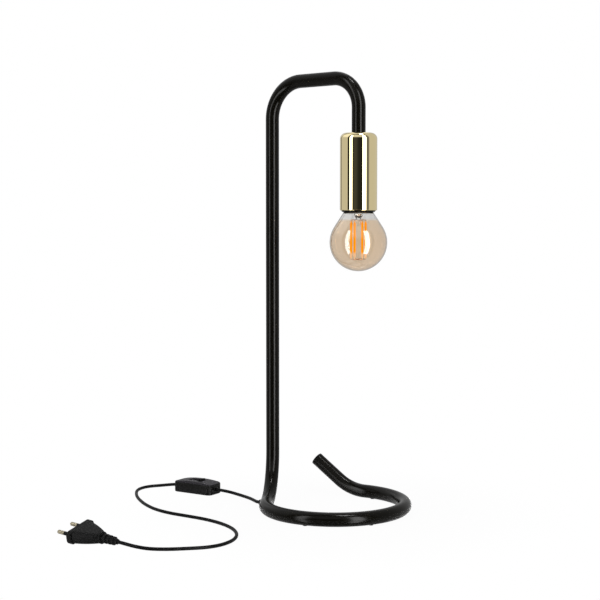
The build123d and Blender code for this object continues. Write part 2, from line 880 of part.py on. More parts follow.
with BuildPart() as switch_screws:
    with BuildSketch(switch_plane):
        with Locations(*post_places):
            Circle(housing_screw_head / 2)
    extrude(amount=housing_screw_head_height)
    with BuildSketch(switch_plane):
        with Locations(*post_places):
            Circle(pilot_diameter / 2)
    extrude(amount=housing_screw_length)
save(switch_screws, "switch_screws")

with BuildPart() as cord_clamps:
    clamp_x = half_length - clamp_inset
    arch = (switch_height - switch_end_height) * ((clamp_x + clamp_length / 2) / half_length) ** 2
    clamp_height = switch_height - switch_wall - arch - switch_split - cord_hole - slip
    with BuildSketch(switch_plane.offset(switch_split + cord_hole)):
        with GridLocations(2 * clamp_x, 0, 2, 1):
            Rectangle(clamp_length, clamp_width)
    extrude(amount=clamp_height)
save(cord_clamps, "cord_clamps")

# Cores inside the switch: one goes straight through, the other is broken by the contacts
core_low = switch_wall + slip + core_diameter / 2
core_routes = [
    [
        (side * cord_inner_x, core_y, switch_split),
        (side * core_knee, core_y, switch_split),
        (side * core_step, core_y, core_low),
        (stop, core_y, core_low),
    ]
    for side, stop in ((-1, rocker_x - contact_ridge / 2), (1, contact_x + contact_length / 2))
]
core_routes.append(
    [(side * reach, -wide, level) for side, reach, wide, level in (
        (-1, cord_inner_x, core_y, switch_split),
        (-1, core_knee, core_y, switch_split),
        (-1, core_step, core_wide, core_low),
        (1, core_step, core_wide, core_low),
        (1, core_knee, core_y, switch_split),
        (1, cord_inner_x, core_y, switch_split),
    )]
)
with BuildPart() as switch_cores:
    for route in core_routes:
        points = [switch_plane.from_local_coords(point) for point in route]
        with BuildLine() as core_line:
            FilletPolyline(*points, radius=core_bend / 2)
        with BuildSketch(Plane(origin=points[0], z_dir=points[1] - points[0])):
            Circle(core_diameter / 2)
        sweep(path=core_line.wire())
save(switch_cores, "switch_cores")

# Two-pin plug: its axis runs from the lead to the pins, and one long edge of its collar is on the table
plug_level = Vector(cos(radians(plug_turn)), sin(radians(plug_turn)), 0)
plug_side = Vector(-plug_level.Y, plug_level.X, 0)
plug_along = plug_level * cos(radians(plug_lift)) + UP * sin(radians(plug_lift))
plug_rise = plug_along.cross(plug_side)
plug_across = plug_side * cos(radians(plug_roll)) - plug_rise * sin(radians(plug_roll))
plug_top = plug_along.cross(plug_across)
plug_face_x = relief_length + plug_length
plug_reach = (plug_width / 2 - plug_corner) * abs(plug_across.Z) + (plug_height / 2 - plug_corner) * plug_top.Z
plug_stand = plug_reach + plug_corner * cos(radians(plug_lift))
plug_end = Vector(plug_x, plug_y, plug_stand - (plug_face_x - plug_collar_length) * plug_along.Z)


def plug_station(distance):
    """Plane across the plug at a distance from the end of its strain relief."""
    return Plane(origin=plug_end + plug_along * distance, x_dir=plug_across, z_dir=plug_along)


plug_section = Plane(origin=plug_end, x_dir=plug_along, z_dir=plug_across)
pin_places = [(-pin_spacing / 2, 0), (pin_spacing / 2, 0)]

with BuildPart() as plug_body:
    with BuildSketch(plug_station(plug_face_x - plug_collar_length)):
        RectangleRounded(plug_width, plug_height, plug_corner)
    extrude(amount=plug_collar_length)
    with BuildSketch(plug_station(plug_face_x - plug_collar_length)):
        RectangleRounded(plug_waist_width, plug_height, plug_corner)
    with BuildSketch(plug_station(relief_length + plug_length * (1 - plug_waist_share))):
        RectangleRounded(
            plug_neck_width + (plug_waist_width - plug_neck_width) * plug_waist_share, plug_waist_height, plug_corner
        )
    with BuildSketch(plug_station(relief_length)):
        RectangleRounded(plug_neck_width, plug_neck_height, plug_neck_corner)
    loft()
    rib_pitch = (relief_length - flange_width) / (rib_count + 1)
    with BuildSketch(plug_section):
        with BuildLine():
            Polyline(
                (0, 0),
                (0, relief_end_radius),
                (relief_length - flange_width, relief_radius),
                (relief_length - flange_width, flange_radius),
                (relief_length, flange_radius),
                (relief_length, 0),
                close=True,
            )
        make_face()
        for count in range(rib_count):
            rib_x = rib_pitch * (count + 1)
            rib_top = relief_end_radius + (relief_radius - relief_end_radius) * rib_x / relief_length + rib_height
            with Locations((rib_x, rib_top / 2)):
                Rectangle(rib_width, rib_top)
    revolve(axis=Axis(plug_end, plug_along))
    with BuildSketch(plug_station(plug_face_x)):
        with Locations(*pin_places):
            Circle(pin_core_diameter / 2 + slip)
    extrude(amount=-pin_anchor, mode=Mode.SUBTRACT)
save(plug_body, "plug_body")

with BuildPart() as pin_sleeves:
    with BuildSketch(plug_station(plug_face_x)):
        with Locations(*pin_places):
            Circle(pin_diameter / 2)
            Circle(pin_core_diameter / 2 + slip, mode=Mode.SUBTRACT)
    extrude(amount=pin_sleeve_length)
save(pin_sleeves, "pin_sleeves")

with BuildPart() as plug_pins:
    with BuildSketch(plug_station(plug_face_x - pin_anchor)):
        with Locations(*pin_places):
            Circle(pin_core_diameter / 2)
    extrude(amount=pin_anchor + pin_sleeve_length)
    with BuildSketch(plug_station(plug_face_x + pin_sleeve_length)):
        with Locations(*pin_places):
            Circle(pin_diameter / 2)
    extrude(amount=pin_length - pin_sleeve_length)
    tips = plug_pins.faces().sort_by(Axis(plug_end, plug_along))[-2:]
    fillet(tips.edges(), radius=pin_nose)
save(plug_pins, "plug_pins")


# Lead outside the tube: straight runs joined by arcs as large as the runs allow
def cord_radii(points):
    """One radius for each corner: 0.45 of the shorter run over the tangent of half the turn."""
    run_share = 0.45
    radii = []
    for before, corner, after in zip(points, points[1:], points[2:]):
        first, second = corner - before, after - corner
        turn = radians(first.get_angle(second))
        radii.append(run_share * min(first.length, second.length) / tan(turn / 2))
    return radii


def lay_cord(points):
    """Round lead along a route, with its volume set against section times length."""
    radii = cord_radii(points)
    with BuildPart() as lead:
        with BuildLine() as lead_line:
            FilletPolyline(*points, radius=radii)
        with BuildSketch(Plane(origin=points[0], z_dir=(points[1] - points[0]).normalized())):
            Circle(cord_radius)
        sweep(path=lead_line.wire())
    run = lead_line.wire().length
    print("lead", round(run, 1), "radii", [round(radius, 1) for radius in radii])
    print("volume", round(lead.part.volume, 1), "section times length", round(pi * cord_radius**2 * run, 1))
    return lead


switch_ends = [switch_side.from_local_coords((side * cord_inner_x, switch_split, 0)) for side in (1, -1)]
mouth_x = half_length + switch_cord_run
switch_mouths = [switch_side.from_local_coords((side * mouth_x, switch_split, 0)) for side in (1, -1)]

to_switch = [exit_face, exit_face + exit_along * exit_run]
to_switch += [Vector(*point) for point in route_to_switch]
to_switch += [switch_mouths[0], switch_ends[0]]
cord_to_switch = lay_cord(to_switch)
save(cord_to_switch, "cord_to_switch")

to_plug = [switch_ends[1], switch_mouths[1]]
to_plug += [Vector(*point) for point in route_to_plug]
to_plug += [plug_end - plug_along * relief_run, plug_end]
cord_to_plug = lay_cord(to_plug)
save(cord_to_plug, "cord_to_plug")

print("ring start", round(degrees(start_angle), 1), "ring join", round(degrees(join_angle), 1))
print("pole x", round(pole_x, 2), "head x", round(head_x, 2), "ring x", round(ring_center.X, 2))
print("exit", [round(value, 2) for value in exit_face], "along", [round(value, 3) for value in exit_along])
print("rocker pivot", [round(value, 3) for value in rocker_section.origin], "axis", list(switch_plane.y_dir))
print("leaf pivot", [round(value, 3) for value in leaf_section.origin])
print("plug end", [round(value, 3) for value in plug_end], "face", [round(v, 3) for v in plug_station(plug_face_x).origin])
print("plug along", [round(value, 6) for value in plug_along], "across", [round(value, 6) for value in plug_across])
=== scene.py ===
# %% [markdown]
# # A bedside lamp made of one bent tube
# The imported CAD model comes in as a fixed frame, in metres. Each cell below dresses one piece of it:
# the lead on the table, the painted tube, the brass sleeve, the bulb with its filaments, the switch
# and the plug. The sizes are read from the frame wherever the frame has them.

# %% The frame
from math import atan2, cos, pi, radians, sin, tan

import bmesh
import bpy
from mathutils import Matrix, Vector


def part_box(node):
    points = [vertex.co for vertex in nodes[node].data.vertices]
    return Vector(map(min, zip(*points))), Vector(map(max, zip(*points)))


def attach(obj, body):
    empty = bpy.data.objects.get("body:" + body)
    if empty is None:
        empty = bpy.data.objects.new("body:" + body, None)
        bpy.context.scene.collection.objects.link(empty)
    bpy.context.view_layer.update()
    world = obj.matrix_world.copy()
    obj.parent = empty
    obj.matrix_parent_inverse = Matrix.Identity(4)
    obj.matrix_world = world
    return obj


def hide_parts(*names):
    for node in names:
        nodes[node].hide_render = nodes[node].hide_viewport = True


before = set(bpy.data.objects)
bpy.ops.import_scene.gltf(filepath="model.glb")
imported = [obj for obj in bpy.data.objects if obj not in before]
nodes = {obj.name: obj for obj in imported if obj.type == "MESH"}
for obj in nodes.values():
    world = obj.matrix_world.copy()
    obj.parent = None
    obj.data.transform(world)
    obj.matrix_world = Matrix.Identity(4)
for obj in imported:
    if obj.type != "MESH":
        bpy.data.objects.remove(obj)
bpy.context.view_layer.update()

# %% [markdown]
# ## Shader maths
# A material is easier to read as arithmetic than as a list of nodes. Field wraps a socket, so that an
# expression such as 0.3 + 0.1 * haze adds the Math nodes it needs. Tree adds every other node through
# one method, and Finish is a Tree that ends in a Principled shader.

# %% Fields


def connect(tree, value, entry):
    """Links a field to a socket, or sets the socket to a plain value."""
    if isinstance(value, Field):
        tree.links.new(value.socket, entry)
    else:
        entry.default_value = value


class Field:
    """A socket that can be added, subtracted and multiplied as a number."""

    def __init__(self, tree, socket):
        self.tree = tree
        self.socket = socket

    def maths(self, operation, *values):
        step = self.tree.nodes.new("ShaderNodeMath")
        step.operation = operation
        for entry, value in zip(step.inputs, values):
            connect(self.tree, value, entry)
        return Field(self.tree, step.outputs[0])

    def __add__(self, other):
        return self.maths("ADD", self, other)

    def __radd__(self, other):
        return self.maths("ADD", other, self)

    def __sub__(self, other):
        return self.maths("SUBTRACT", self, other)

    def __rsub__(self, other):
        return self.maths("SUBTRACT", other, self)

    def __mul__(self, other):
        return self.maths("MULTIPLY", self, other)

    def __rmul__(self, other):
        return self.maths("MULTIPLY", other, self)


# %% Trees and finishes


class Tree:
    """A node tree that grows through one method."""

    def __init__(self, tree):
        self.tree = tree

    def node(self, kind, settings=None, inputs=None, output=0):
        """Adds a node: its settings first, then the values or links of its sockets."""
        step = self.tree.nodes.new(kind)
        for name, value in (settings or {}).items():
            setattr(step, name, value)
        for name, value in (inputs or {}).items():
            connect(self.tree, value, step.inputs[name])
        return Field(self.tree, step.outputs[output])

    def step(self, value, low, high):
        """Zero below low, one above high, smooth between them."""
        return self.node(
            "ShaderNodeMapRange",
            {"interpolation_type": "SMOOTHSTEP"},
            {"Value": value, "From Min": low, "From Max": high},
        )

    def band(self, value, low, high, soft):
        """One between low and high, zero outside, with soft edges."""
        return self.step(value, low - soft, low + soft) * (1 - self.step(value, high - soft, high + soft))


class Finish(Tree):
    """A material that ends in one Principled shader."""

    def __init__(self, name, **constants):
        self.material = bpy.data.materials.new(name)
        self.material.use_nodes = True
        super().__init__(self.material.node_tree)
        self.shader = self.tree.nodes["Principled BSDF"]
        self.place = self.node("ShaderNodeTexCoord", output="Object")
        self.set(constants)

    def set(self, values):
        """Sets or links sockets of the shader by name."""
        for name, value in values.items():
            connect(self.tree, value, self.shader.inputs[name.replace("_", " ")])

    def noise(self, scale, detail=2.0, stretch=(1, 1, 1)):
        """Cloudy values near 0.5; scale is in blobs to the metre, roughly."""
        place = self.node("ShaderNodeMapping", None, {"Vector": self.place, "Scale": stretch})
        return self.node("ShaderNodeTexNoise", None, {"Vector": place, "Scale": scale, "Detail": detail})

    def axis(self, letter):
        """One coordinate of the point on the surface, in metres."""
        return self.node("ShaderNodeSeparateXYZ", None, {"Vector": self.place}, output=letter)

    def mix(self, share, first, second):
        """Colour between two colours."""
        return self.node("ShaderNodeMix", {"data_type": "RGBA"}, {0: share, 6: first, 7: second}, output=2)

    def relief(self, height, depth):
        """Bump of a height field whose full swing is depth metres."""
        sockets = {"Height": height, "Distance": depth, "Strength": 1.0}
        self.set({"Normal": self.node("ShaderNodeBump", None, sockets, output="Normal")})


# %% [markdown]
# ## Meshes
# Two makers serve most pieces. A lathe spins a half section about an upright axis. A sweep, built with
# Geometry Nodes, runs a round section along a curve. A Screw modifier could spin a section as well, but
# a mesh made here has its place in its own corners, so that every object stays at the origin.

# %% Objects and the lathe
merge_distance = 1e-7


def keep_object(name, mesh, finish, smooth_angle=35):
    """Links a mesh as an object with one material, smooth up to an angle between its faces."""
    mesh.materials.clear()
    mesh.materials.append(finish.material)
    mesh.shade_smooth()
    mesh.set_sharp_from_angle(angle=radians(smooth_angle))
    piece = bpy.data.objects.new(name, mesh)
    bpy.context.scene.collection.objects.link(piece)
    print(name, len(mesh.polygons), "faces")
    return piece


def close_mesh(name, shape):
    """Merges doubles, turns the faces outwards and leaves bmesh."""
    bmesh.ops.remove_doubles(shape, verts=shape.verts, dist=merge_distance)
    bmesh.ops.recalc_face_normals(shape, faces=shape.faces)
    mesh = bpy.data.meshes.new(name)
    shape.to_mesh(mesh)
    shape.free()
    return mesh


def bridge(shape, first, second):
    """Faces between two rings of corners, either of which may be a single pole."""
    count = max(len(first), len(second))
    for place in range(count):
        after = (place + 1) % count
        corners = [first[place % len(first)], first[after % len(first)]]
        corners += [second[after % len(second)], second[place % len(second)]]
        shape.faces.new(list(dict.fromkeys(corners)))


def lathe(name, profile, finish, axis, steps=128, closed=False, smooth_angle=35):
    """Spins a list of (radius, height) about an upright axis. A radius may be a function of the turn."""
    shape = bmesh.new()
    rings = []
    for radius, height in profile:
        reach = radius if callable(radius) else lambda turn, fixed=radius: fixed
        count = steps if reach(0) > 0 else 1
        turns = [2 * pi * step / count for step in range(count)]
        places = [(axis[0] + reach(t) * cos(t), axis[1] + reach(t) * sin(t), height) for t in turns]
        rings.append([shape.verts.new(place) for place in places])
    for first, second in zip(rings, rings[1:]):
        bridge(shape, first, second)
    if closed:
        bridge(shape, rings[-1], rings[0])
    return keep_object(name, close_mesh(name, shape), finish, smooth_angle)


# %% Rounded corners of a profile
plain_turn = radians(8)
side_share = 0.45
support_share = 0.6


def rounded(profile, radius, steps):
    """Rounds each inner corner of a profile and adds a support point beside each round."""
    points = [Vector(point) for point in profile]
    result = [tuple(points[0])]
    for before, corner, after in zip(points, points[1:], points[2:]):
        into, out = corner - before, after - corner
        turn = into.angle(out)
        if turn < plain_turn:
            result.append(tuple(corner))
            continue
        reach = min(radius * tan(turn / 2), side_share * into.length, side_share * out.length)
        start, end = corner - into.normalized() * reach, corner + out.normalized() * reach
        result.append(tuple(start - into.normalized() * reach * support_share))
        for step in range(steps + 1):
            t = step / steps
            result.append(tuple(start * (1 - t) ** 2 + corner * 2 * t * (1 - t) + end * t**2))
        result.append(tuple(end + out.normalized() * reach * support_share))
    result.append(tuple(points[-1]))
    return result


# %% Geometry Nodes recipes


def open_recipe(name, **kinds):
    """Geometry Nodes tree with named inputs, and a field for each of them."""
    group = bpy.data.node_groups.new(name, "GeometryNodeTree")
    sockets = {"Geometry": "Geometry", **kinds, "Material": "Material"}
    for label, kind in sockets.items():
        group.interface.new_socket(label, in_out="INPUT", socket_type="NodeSocket" + kind)
    group.interface.new_socket("Geometry", in_out="OUTPUT", socket_type="NodeSocketGeometry")
    tree = Tree(group)
    return tree, [tree.node("NodeGroupInput", output=label) for label in sockets]


def close_recipe(tree, geometry, material):
    """Makes instances real, sets the material and links the tree's output."""
    geometry = tree.node("GeometryNodeRealizeInstances", None, {"Geometry": geometry})
    geometry = tree.node("GeometryNodeSetMaterial", None, {"Geometry": geometry, "Material": material})
    connect(tree.tree, geometry, tree.tree.nodes.new("NodeGroupOutput").inputs[0])
    return tree.tree


def run_recipe(name, source, group, finish, smooth_angle=35, **sizes):
    """Runs a Geometry Nodes tree on an object and keeps the result as a plain mesh."""
    modifier = source.modifiers.new("recipe", "NODES")
    modifier.node_group = group
    values = {"Material": finish.material, **sizes}
    for item in group.interface.items_tree:
        if item.in_out == "INPUT" and item.name in values:
            modifier[item.identifier] = values[item.name]
    bpy.context.view_layer.update()
    shape = source.evaluated_get(bpy.context.evaluated_depsgraph_get())
    mesh = bpy.data.meshes.new_from_object(shape)
    source.modifiers.remove(modifier)
    bpy.data.objects.remove(source)
    return keep_object(name, mesh, finish, smooth_angle)


# %% Lines and the sweep along them


def line_object(name, runs, smooth=False):
    """Curve object of one spline for each list of points: straight from point to point, or smooth."""
    line = bpy.data.curves.new(name, "CURVE")
    line.dimensions = "3D"
    for run in runs:
        spline = line.splines.new("NURBS" if smooth else "POLY")
        spline.points.add(len(run) - 1)
        for point, place in zip(spline.points, run):
            point.co = (*place, 1.0)
        if smooth:
            spline.order_u = 3
            spline.use_endpoint_u = True
            spline.resolution_u = 12
    holder = bpy.data.objects.new(name, line)
    bpy.context.scene.collection.objects.link(holder)
    return holder


def sweep_recipe():
    """Geometry Nodes tree: a round section along a curve, closed at both ends."""
    tree, (line, radius, facets, material) = open_recipe("round_sweep", Radius="Float", Facets="Int")
    circle = {"Resolution": facets, "Radius": radius}
    section = tree.node("GeometryNodeCurvePrimitiveCircle", {"mode": "RADIUS"}, circle)
    sweep = {"Curve": line, "Profile Curve": section, "Fill Caps": True}
    return close_recipe(tree, tree.node("GeometryNodeCurveToMesh", None, sweep), material)


round_sweep = sweep_recipe()
print("recipe:", round_sweep.name, len(round_sweep.nodes), "nodes")

# %% [markdown]
# ## Finishes
# The tube is coated in black paint that flows out nearly flat, so it mirrors softly and wavers a little.
# The sleeve is polished brass, turned on a lathe, so its finest marks run round it. The mouldings are
# black with a soft waviness, and the lead has a vinyl skin. The switch's cover is paler on its top face:
# painted light from above.
# Each could be an image wrapped round the piece. Noise on object coordinates is used instead, because it
# needs no unwrapping and shows no seam.

# %% Makers of plain finishes
mottle_scale = 40
mottle_share = 0.2
mottle_swing = 0.06
mark_scale = 1500
mark_swing = 0.05
mark_depth = 2e-6
worn_share = 0.8


def moulding(name, tone, roughness, grain, depth, gloss=0.2):
    """Moulded plastic or rubber: a soft grain, and a tone and roughness that wander a little."""
    finish = Finish(name, Specular_IOR_Level=gloss)
    haze = finish.noise(mottle_scale, detail=3)
    dark, pale = [(*[tone * share] * 3, 1) for share in (1 - mottle_share, 1 + mottle_share)]
    finish.set({
        "Base Color": finish.mix(haze, dark, pale),
        "Roughness": roughness - mottle_swing + 2 * mottle_swing * haze,
    })
    finish.relief(finish.noise(grain), depth)
    return finish


def metal(name, colour, roughness, stretch=(1, 1, 1)):
    """Plain metal with fine marks, stretched along the way it was worked."""
    finish = Finish(name, Metallic=1.0)
    marks = finish.noise(mark_scale, detail=3, stretch=stretch)
    worn = [channel * worn_share for channel in colour]
    finish.set({
        "Base Color": finish.mix(marks, (*worn, 1), (*colour, 1)),
        "Roughness": roughness - mark_swing + 2 * mark_swing * marks,
    })
    finish.relief(marks, mark_depth)
    return finish


# %% Paint and polished brass
paint_dark, paint_pale = (0.0032, 0.0028, 0.0018, 1), (0.0050, 0.0044, 0.0030, 1)
paint_roughness, paint_swing = 0.15, 0.05
paint_wave_scale, paint_wave_depth = 70, 1.5e-6
black_paint = Finish("black_paint", IOR=1.5, Specular_IOR_Level=0.1)
paint_haze = black_paint.noise(scale=18, detail=3)
black_paint.set({
    "Base Color": black_paint.mix(paint_haze, paint_dark, paint_pale),
    "Roughness": paint_roughness + paint_swing * paint_haze,
})
black_paint.relief(black_paint.noise(paint_wave_scale, detail=1), paint_wave_depth)

brass_dark, brass_pale = (0.84, 0.71, 0.40, 1), (0.88, 0.75, 0.43, 1)
brass_roughness, smudge_swing, turning_swing = 0.006, 0.01, 0.008
turning_stretch = (1, 1, 90)
polished_brass = Finish("polished_brass", Metallic=1.0)
turning = polished_brass.noise(scale=60, detail=4, stretch=turning_stretch)
smudge = polished_brass.noise(scale=35, detail=3)
polished_brass.set({
    "Base Color": polished_brass.mix(smudge, brass_dark, brass_pale),
    "Roughness": brass_roughness + smudge_swing * smudge + turning_swing * turning,
})
print("paint and brass:", len(black_paint.tree.nodes), "and", len(polished_brass.tree.nodes), "nodes")

# %% Mouldings
black_plastic = moulding("black_plastic", tone=0.005, roughness=0.42, grain=160, depth=1e-6, gloss=0.09)
rocker_plastic = moulding("rocker_plastic", tone=0.003, roughness=0.34, grain=160, depth=1e-6, gloss=0.07)
black_vinyl = moulding("black_vinyl", tone=0.004, roughness=0.42, grain=120, depth=1e-6, gloss=0.06)
plug_vinyl = moulding("plug_vinyl", tone=0.006, roughness=0.52, grain=160, depth=1.5e-6, gloss=0.08)
pad_rubber = moulding("pad_rubber", tone=0.01, roughness=0.75, grain=1500, depth=2e-5, gloss=0.1)
phenolic = moulding("phenolic", tone=0.004, roughness=0.34, grain=600, depth=2e-6, gloss=0.06)
porcelain = moulding("porcelain", tone=0.72, roughness=0.22, grain=300, depth=1e-5, gloss=0.5)
board_green = moulding("board_green", tone=0.1, roughness=0.5, grain=800, depth=1e-5)
core_blue = moulding("core_blue", tone=0.08, roughness=0.45, grain=900, depth=6e-6)

# The cover's top face is painted paler than its sides. This is painted light, for light that falls on the top
# from above.
cover_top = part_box("switch_cover")[1].z
cover_edge_start, cover_edge_end = cover_top - 0.0032, cover_top - 0.002
cover_side, cover_top_painted_light = (0.004, 0.004, 0.0035, 1), (0.028, 0.026, 0.031, 1)
cover_plastic = moulding("cover_plastic", tone=0.005, roughness=0.4, grain=160, depth=1e-6, gloss=0.09)
painted_top_light_mask = cover_plastic.step(cover_plastic.axis("Z"), cover_edge_start, cover_edge_end)
cover_plastic.set({"Base Color": cover_plastic.mix(painted_top_light_mask, cover_side, cover_top_painted_light)})
print("cover: paler above", round(cover_edge_start, 4), "m")

# %% Plain metals
plain_brass = metal("plain_brass", colour=(0.66, 0.5, 0.28), roughness=0.34)
# The pins take a greyer brass, darker than the other fittings. The greyer hue is their own colour, and the
# darkness is painted shade.
pin_brass = metal("pin_brass", colour=(0.36, 0.32, 0.23), roughness=0.36)
cap_steel = metal("cap_steel", colour=(0.6, 0.6, 0.58), roughness=0.3, stretch=(1, 1, 6))
screw_steel = metal("screw_steel", colour=(0.6, 0.6, 0.6), roughness=0.32)
lead_copper = metal("lead_copper", colour=(0.72, 0.4, 0.22), roughness=0.3)
print("finishes:", len(bpy.data.materials))

# %% [markdown]
# ## Camera
# The photograph was taken with a long lens, a little above the bulb and aimed slightly down. The place
# and the lens come from a fit of the tube's edges, so that the render and the photograph line up.

# %% The camera
lens_length = 78.41
sensor_width = 36.0
camera_place = (0.84586, -1.15407, 0.31797)
camera_tilt = 3.396
camera_turn = 37.603

camera_data = bpy.data.cameras.new("camera")
camera_data.lens = lens_length
camera_data.sensor_width = sensor_width
camera = bpy.data.objects.new("camera", camera_data)
camera.location = camera_place
camera.rotation_euler = (radians(90 - camera_tilt), 0, radians(camera_turn))
bpy.context.scene.collection.objects.link(camera)
bpy.context.scene.camera = camera
print("camera at", camera_place, "lens", lens_length)

# %% [markdown]
# ## The lead
# A lead lies in long soft curves, so its line is a NURBS spline with the route's points as control
# points. It leaves the bush at the foot of the pole, passes through the switch, and ends in the plug.
# The photograph shows it end to end, so the length on the table is its whole length.

# %% Where the lead goes


def level_way(angle):
    """Level direction at an angle from +X."""
    return Vector((cos(angle), sin(angle), 0))


cord_diameter = 0.0036
exit_point = Vector((-0.06948, -0.03852, 0.00631))
exit_along = Vector((-0.965, 0.242, -0.105)).normalized()
exit_run = 0.006
switch_center = Vector((-0.1829, -0.0167, 0.006))
switch_turn = radians(5.2)
switch_along = level_way(switch_turn)
switch_half = 0.027
cord_inside = 0.008
cord_outside = 0.004
plug_end = Vector((-0.0640, -0.2642, 0.006553))
plug_along = Vector((-0.995134, -0.069587, 0.069756))
relief_run = 0.009

route_to_switch = [
    exit_point,
    exit_point + exit_along * exit_run,
    (-0.0860, -0.0305, 0.0055),
    (-0.0975, -0.0240, 0.0050),
    (-0.1090, -0.0190, 0.0046),
    (-0.1220, -0.0150, 0.0046),
    (-0.1360, -0.0127, 0.0052),
    switch_center + switch_along * (switch_half + cord_outside),
    switch_center + switch_along * (switch_half - cord_inside),
]
route_to_plug = [
    switch_center - switch_along * (switch_half - cord_inside),
    switch_center - switch_along * (switch_half + cord_outside),
    (-0.2310, -0.0200, 0.0029),
    (-0.2400, -0.0255, 0.0018),
    (-0.2453, -0.0350, 0.0018),
    (-0.2453, -0.0480, 0.0018),
    (-0.2395, -0.0605, 0.0018),
    (-0.2295, -0.0720, 0.0018),
    (-0.2150, -0.0855, 0.0018),
    (-0.1970, -0.0985, 0.0018),
    (-0.1750, -0.1115, 0.0018),
    (-0.1510, -0.1215, 0.0018),
    (-0.1260, -0.1255, 0.0018),
    (-0.1000, -0.1240, 0.0018),
    (-0.0740, -0.1235, 0.0018),
    (-0.0480, -0.1280, 0.0018),
    (-0.0240, -0.1380, 0.0018),
    (-0.0040, -0.1545, 0.0018),
    (0.0085, -0.1745, 0.0018),
    (0.0120, -0.1955, 0.0018),
    (0.0075, -0.2130, 0.0018),
    (-0.0055, -0.2285, 0.0018),
    (-0.0180, -0.2420, 0.0018),
    (-0.0320, -0.2540, 0.0024),
    (-0.0440, -0.2610, 0.0043),
    plug_end - plug_along * relief_run,
    plug_end,
]
print("lead:", len(route_to_switch), "and", len(route_to_plug), "points")

# %% Two stretches of lead


def lay_lead(name, route):
    """Round lead on a smooth line."""
    lead = line_object(name, [route], smooth=True)
    lead.data.bevel_depth = cord_diameter / 2
    lead.data.bevel_resolution = 6
    lead.data.use_fill_caps = True
    lead.data.materials.append(black_vinyl.material)
    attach(lead, "lamp")
    return lead


lead_to_switch = lay_lead("lead_to_switch", route_to_switch)
lead_to_plug = lay_lead("lead_to_plug", route_to_plug)
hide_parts("cord_to_switch")
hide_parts("cord_to_plug")
print("lead:", round(cord_diameter * 1000, 1), "mm thick")

# %% [markdown]
# ## The bent tube
# The tube is bent from one length, so its line is made only of straight runs and arcs. Each arc leaves
# the run before it and turns to the direction of the next. A round section swept along that line has
# the outside that a tube bender gives, which a tube joined from separate bends would only come near.

# %% Arcs of the tube's line
UP = Vector((0, 0, 1))
ALONG_X = Vector((1, 0, 0))
arc_step = radians(2.5)


def bend(start, first, second, radius):
    """Points of the arc that leaves start along first and ends along second."""
    turn = first.angle(second)
    side = (second - first * cos(turn)).normalized()
    count = max(2, round(turn / arc_step))
    angles = [turn * place / count for place in range(count + 1)]
    return [start + (first * sin(angle) + side * (1 - cos(angle))) * radius for angle in angles]


def level_arc(center, radius, first, last):
    """Points of a level arc between two angles."""
    count = max(2, round(abs(last - first) / arc_step))
    angles = [first + (last - first) * place / count for place in range(count + 1)]
    return [center + level_way(angle) * radius for angle in angles]


# %% Sizes of the tube
tube_low, tube_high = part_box("tube_frame")
sleeve_low, sleeve_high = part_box("sleeve")
tube_radius = 0.0075
tube_facets = 64
head_x = (sleeve_low.x + sleeve_high.x) / 2
pole_x = tube_low.x + tube_radius
arm_level = tube_high.z - tube_radius
ring_level = tube_low.z + tube_radius
ring_radius = (tube_high.y - tube_low.y) / 2 - tube_radius
ring_center = Vector((tube_high.x - tube_radius - ring_radius, 0, ring_level))
pole_bend, drop_bend, base_bend, tail_bend = 0.040, 0.033, 0.052, 0.055
entry_radius = 0.0685
entry_sweep = radians(53)
ring_end = radians(459)
tail_rise = radians(36.3)
tail_length = 0.036

# The pole's place beside a ring that its entry arc joins at +X. The ring is then turned to meet the pole.
foot_x = ring_radius - entry_radius + entry_radius * cos(entry_sweep) - base_bend * sin(entry_sweep)
foot_y = -entry_radius * sin(entry_sweep) - base_bend * cos(entry_sweep)
join_angle = pi - atan2(foot_y, foot_x)
start_angle = join_angle - entry_sweep
entry_center = ring_center + level_way(join_angle) * (ring_radius - entry_radius)
start_along = level_way(start_angle + pi / 2)
end_along = level_way(ring_end + pi / 2)
tail_along = end_along * cos(tail_rise) + UP * sin(tail_rise)
print("ring:", round(ring_radius, 4), "m from its middle to the tube's middle")

# %% The tube
tube_line = [Vector((head_x, 0, sleeve_high.z))]
tube_line += bend(Vector((head_x, 0, arm_level - drop_bend)), UP, -ALONG_X, drop_bend)
tube_line += bend(Vector((pole_x + pole_bend, 0, arm_level)), -ALONG_X, -UP, pole_bend)
tube_line += bend(Vector((pole_x, 0, ring_level + base_bend)), -UP, start_along, base_bend)
tube_line += level_arc(entry_center, entry_radius, start_angle, join_angle)[1:]
tube_line += level_arc(ring_center, ring_radius, join_angle, ring_end)[1:]
tube_line += bend(tube_line[-1], end_along, tail_along, tail_bend)[1:]
tube_line += [tube_line[-1] + tail_along * tail_length]

tube_curve = line_object("tube_line", [tube_line])
tube = run_recipe("bent_tube", tube_curve, round_sweep, black_paint, Radius=tube_radius, Facets=tube_facets)
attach(tube, "lamp")
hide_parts("tube_frame")
print("tube line", len(tube_line), "points, ends at", [round(value, 4) for value in tube_line[-1]])

# %% [markdown]
# ## Brass sleeve and lampholder rim
# The sleeve is a deep-drawn cup with a rounded shoulder. Spinning its section keeps the wall smooth, so
# the lights draw clean upright bands on it. Below it shows only the lampholder's narrow black rim.

# %% Sleeve
head_axis = (head_x, 0)
sleeve_radius = (sleeve_high.x - sleeve_low.x) / 2
sleeve_wall = 0.001
sleeve_facets = 192
shoulder = 0.0065
shoulder_support = 0.0015
hole_radius = 0.00505
edge_rise, edge_inset = 0.0004, 0.0003
edge_support = 0.002


def shoulder_arc(radius, top, fillet, steps=14):
    """Quarter round from an upright wall to a level top."""
    turns = [pi / 2 * step / steps for step in range(steps + 1)]
    return [(radius - fillet + fillet * cos(t), top - fillet + fillet * sin(t)) for t in turns]


